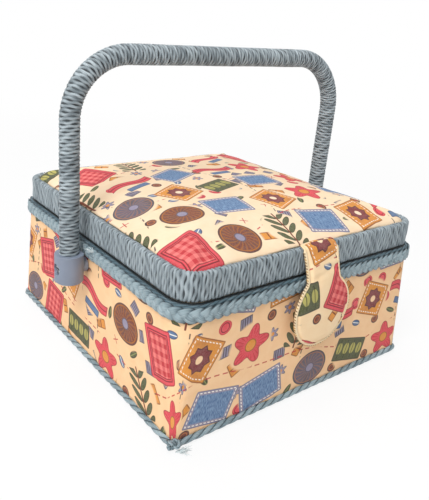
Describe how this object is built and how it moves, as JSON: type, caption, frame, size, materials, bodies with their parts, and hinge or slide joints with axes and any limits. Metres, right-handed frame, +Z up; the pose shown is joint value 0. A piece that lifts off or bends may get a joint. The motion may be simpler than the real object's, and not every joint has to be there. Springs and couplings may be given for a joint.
{
  "type": "sewing box",
  "caption": "Square fabric-covered sewing box with a padded hinged lid, a magnetic tab, a wound swinging bail handle and a lift-out compartment tray.",
  "frame": {"origin": "centre of the box's underside, on the table", "axes": "+Z up, -Y towards the closing tab (the front), X along the handle's pivot line"},
  "size_m": [0.24, 0.2189, 0.2029],
  "materials": {
    "printed_fabric": "woven cotton, matt",
    "paper_cord": "twisted blue-grey paper cord",
    "fibreboard": "raw grey board",
    "satin_lining": "plain cream satin",
    "base_paper": "plain blue-grey paper, pasted on",
    "hinge_cloth": "plain blue-grey tape",
    "blue_plastic": "moulded, matt",
    "steel": "plated",
    "nickel": "nickel plated",
    "tray_plastic": "translucent white moulding"
  },
  "bodies": {
    "box": {"bottom_cover": "base_paper", "base_board": "fibreboard", "wall_board": "fibreboard", "outer_cover": "printed_fabric", "base_cord": "paper_cord", "rim_braid": "paper_cord", "body_lining": "satin_lining", "floor_pad": "satin_lining", "tray_rest_left": "fibreboard", "tray_rest_right": "fibreboard", "spacer_left": "blue_plastic", "spacer_right": "blue_plastic", "pivot_screw_left": "steel", "pivot_screw_right": "steel", "pivot_nut_left": "steel", "pivot_nut_right": "steel", "snap_plate": "nickel", "hinge_tape_lower": "hinge_cloth"},
    "lid": {"lid_binding": "paper_cord", "lid_hoop": "fibreboard", "lid_board": "fibreboard", "lid_lining": "satin_lining", "lid_pocket": "satin_lining", "pocket_hem": "satin_lining", "lid_cushion": "printed_fabric", "hinge_tape_upper": "hinge_cloth", "tab_root": "printed_fabric"},
    "tab": {"closure_tab": "printed_fabric", "tab_backing": "printed_fabric", "snap_magnet": "nickel"},
    "handle": {"handle_grip": "paper_cord", "ferrule_left": "blue_plastic", "ferrule_right": "blue_plastic"},
    "tray": {"tray": "tray_plastic"}
  },
  "joints": [
    {"name": "lid_hinge", "type": "hinge", "parent": "box", "child": "lid", "pos_m": [0, 0.1031, 0.08405], "axis": [-1, 0, 0], "range_deg": [0, 34]},
    {"name": "tab_hinge", "type": "hinge", "parent": "lid", "child": "tab", "pos_m": [0, -0.10125, 0.1042], "axis": [-1, 0, 0], "range_deg": [0, 100]},
    {"name": "handle_swing", "type": "hinge", "parent": "box", "child": "handle", "pos_m": [0, 0, 0.0682], "axis": [1, 0, 0], "range_deg": [-110, 110]},
    {"name": "tray_lift", "type": "slide", "parent": "box", "child": "tray", "axis": [0, 0, 1], "range_m": [0, 0.0055]}
  ]
}
